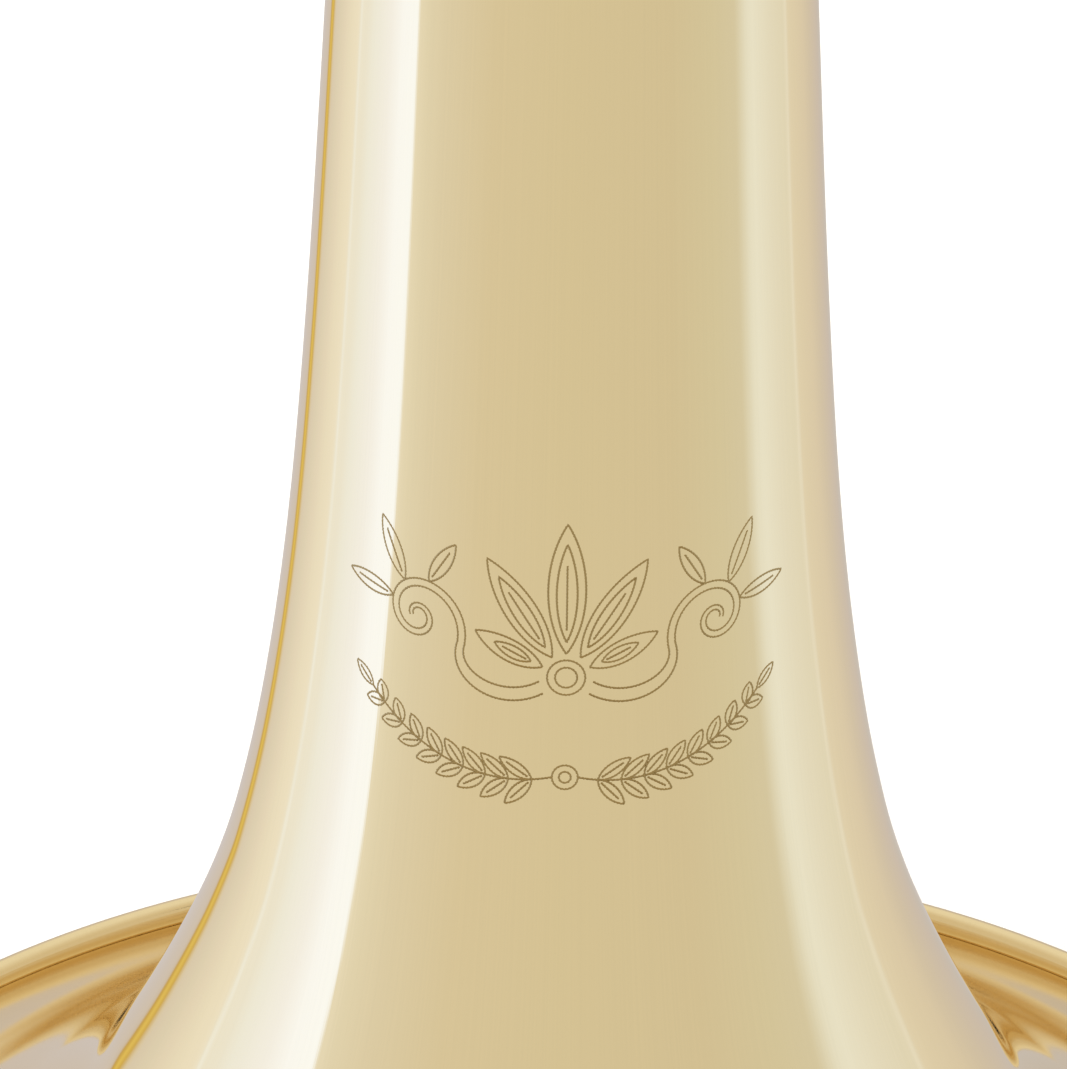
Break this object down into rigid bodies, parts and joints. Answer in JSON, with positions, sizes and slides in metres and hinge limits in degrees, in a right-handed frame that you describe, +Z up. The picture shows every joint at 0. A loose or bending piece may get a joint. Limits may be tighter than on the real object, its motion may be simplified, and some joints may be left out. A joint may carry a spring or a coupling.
{
  "type": "trombone bell section",
  "caption": "Detachable bell section of a straight tenor trombone in lacquered brass, with tuning slide, balance weight, neckpipe tenon and turning lock nut.",
  "frame": {"origin": "on the floor under the bell section, midway between the bell's outer edge and the lock nut's outer edge", "axes": "+Z up along the bell's axis from its mouth to the tuning crook; +X from the bell's axis towards the neckpipe"},
  "size_m": [0.2286, 0.2032, 0.6382],
  "materials": {
    "lacquered_brass": "mirror-buffed yellow brass under clear lacquer",
    "nickel_silver": "polished nickel silver",
    "steel": "plain steel"
  },
  "bodies": {
    "bell_section": {"bell_flare": "lacquered_brass", "bell_outer_tube": "lacquered_brass", "bell_stem": "lacquered_brass", "bell_tube_end_ring": "nickel_silver", "bell_tube_ferrule": "nickel_silver", "lower_brace_bell_flange": "nickel_silver", "lower_brace_neck_flange": "nickel_silver", "lower_brace_stay": "lacquered_brass", "neck_outer_tube": "lacquered_brass", "neck_tenon": "nickel_silver", "neck_tube_end_ring": "nickel_silver", "neck_tube_ferrule": "nickel_silver", "neckpipe": "lacquered_brass", "nut_stop_ring": "nickel_silver", "rim_wire": "steel", "upper_brace_bell_flange": "nickel_silver", "upper_brace_neck_flange": "nickel_silver", "upper_brace_stay": "lacquered_brass"},
    "tuning_slide": {"bell_inner_leg": "nickel_silver", "neck_inner_leg": "nickel_silver", "bell_crook_ferrule": "nickel_silver", "neck_crook_ferrule": "nickel_silver", "tuning_crook": "lacquered_brass", "crook_brace_bell_flange": "nickel_silver", "crook_brace_neck_flange": "nickel_silver", "crook_brace_stay": "lacquered_brass", "weight_front_half": "lacquered_brass", "weight_rear_half": "lacquered_brass", "weight_screw_bell": "steel", "weight_screw_neck": "steel"},
    "lock_nut_body": {"lock_nut": "nickel_silver"}
  },
  "joints": [
    {"name": "tuning_slide_pull", "type": "slide", "parent": "bell_section", "child": "tuning_slide", "axis": [0, 0, 1], "range_m": [0, 0.07]},
    {"name": "lock_nut_turn", "type": "hinge", "parent": "bell_section", "child": "lock_nut_body", "pos_m": [0.0993, 0, 0.2986], "axis": [0, 0, 1], "continuous": true}
  ]
}
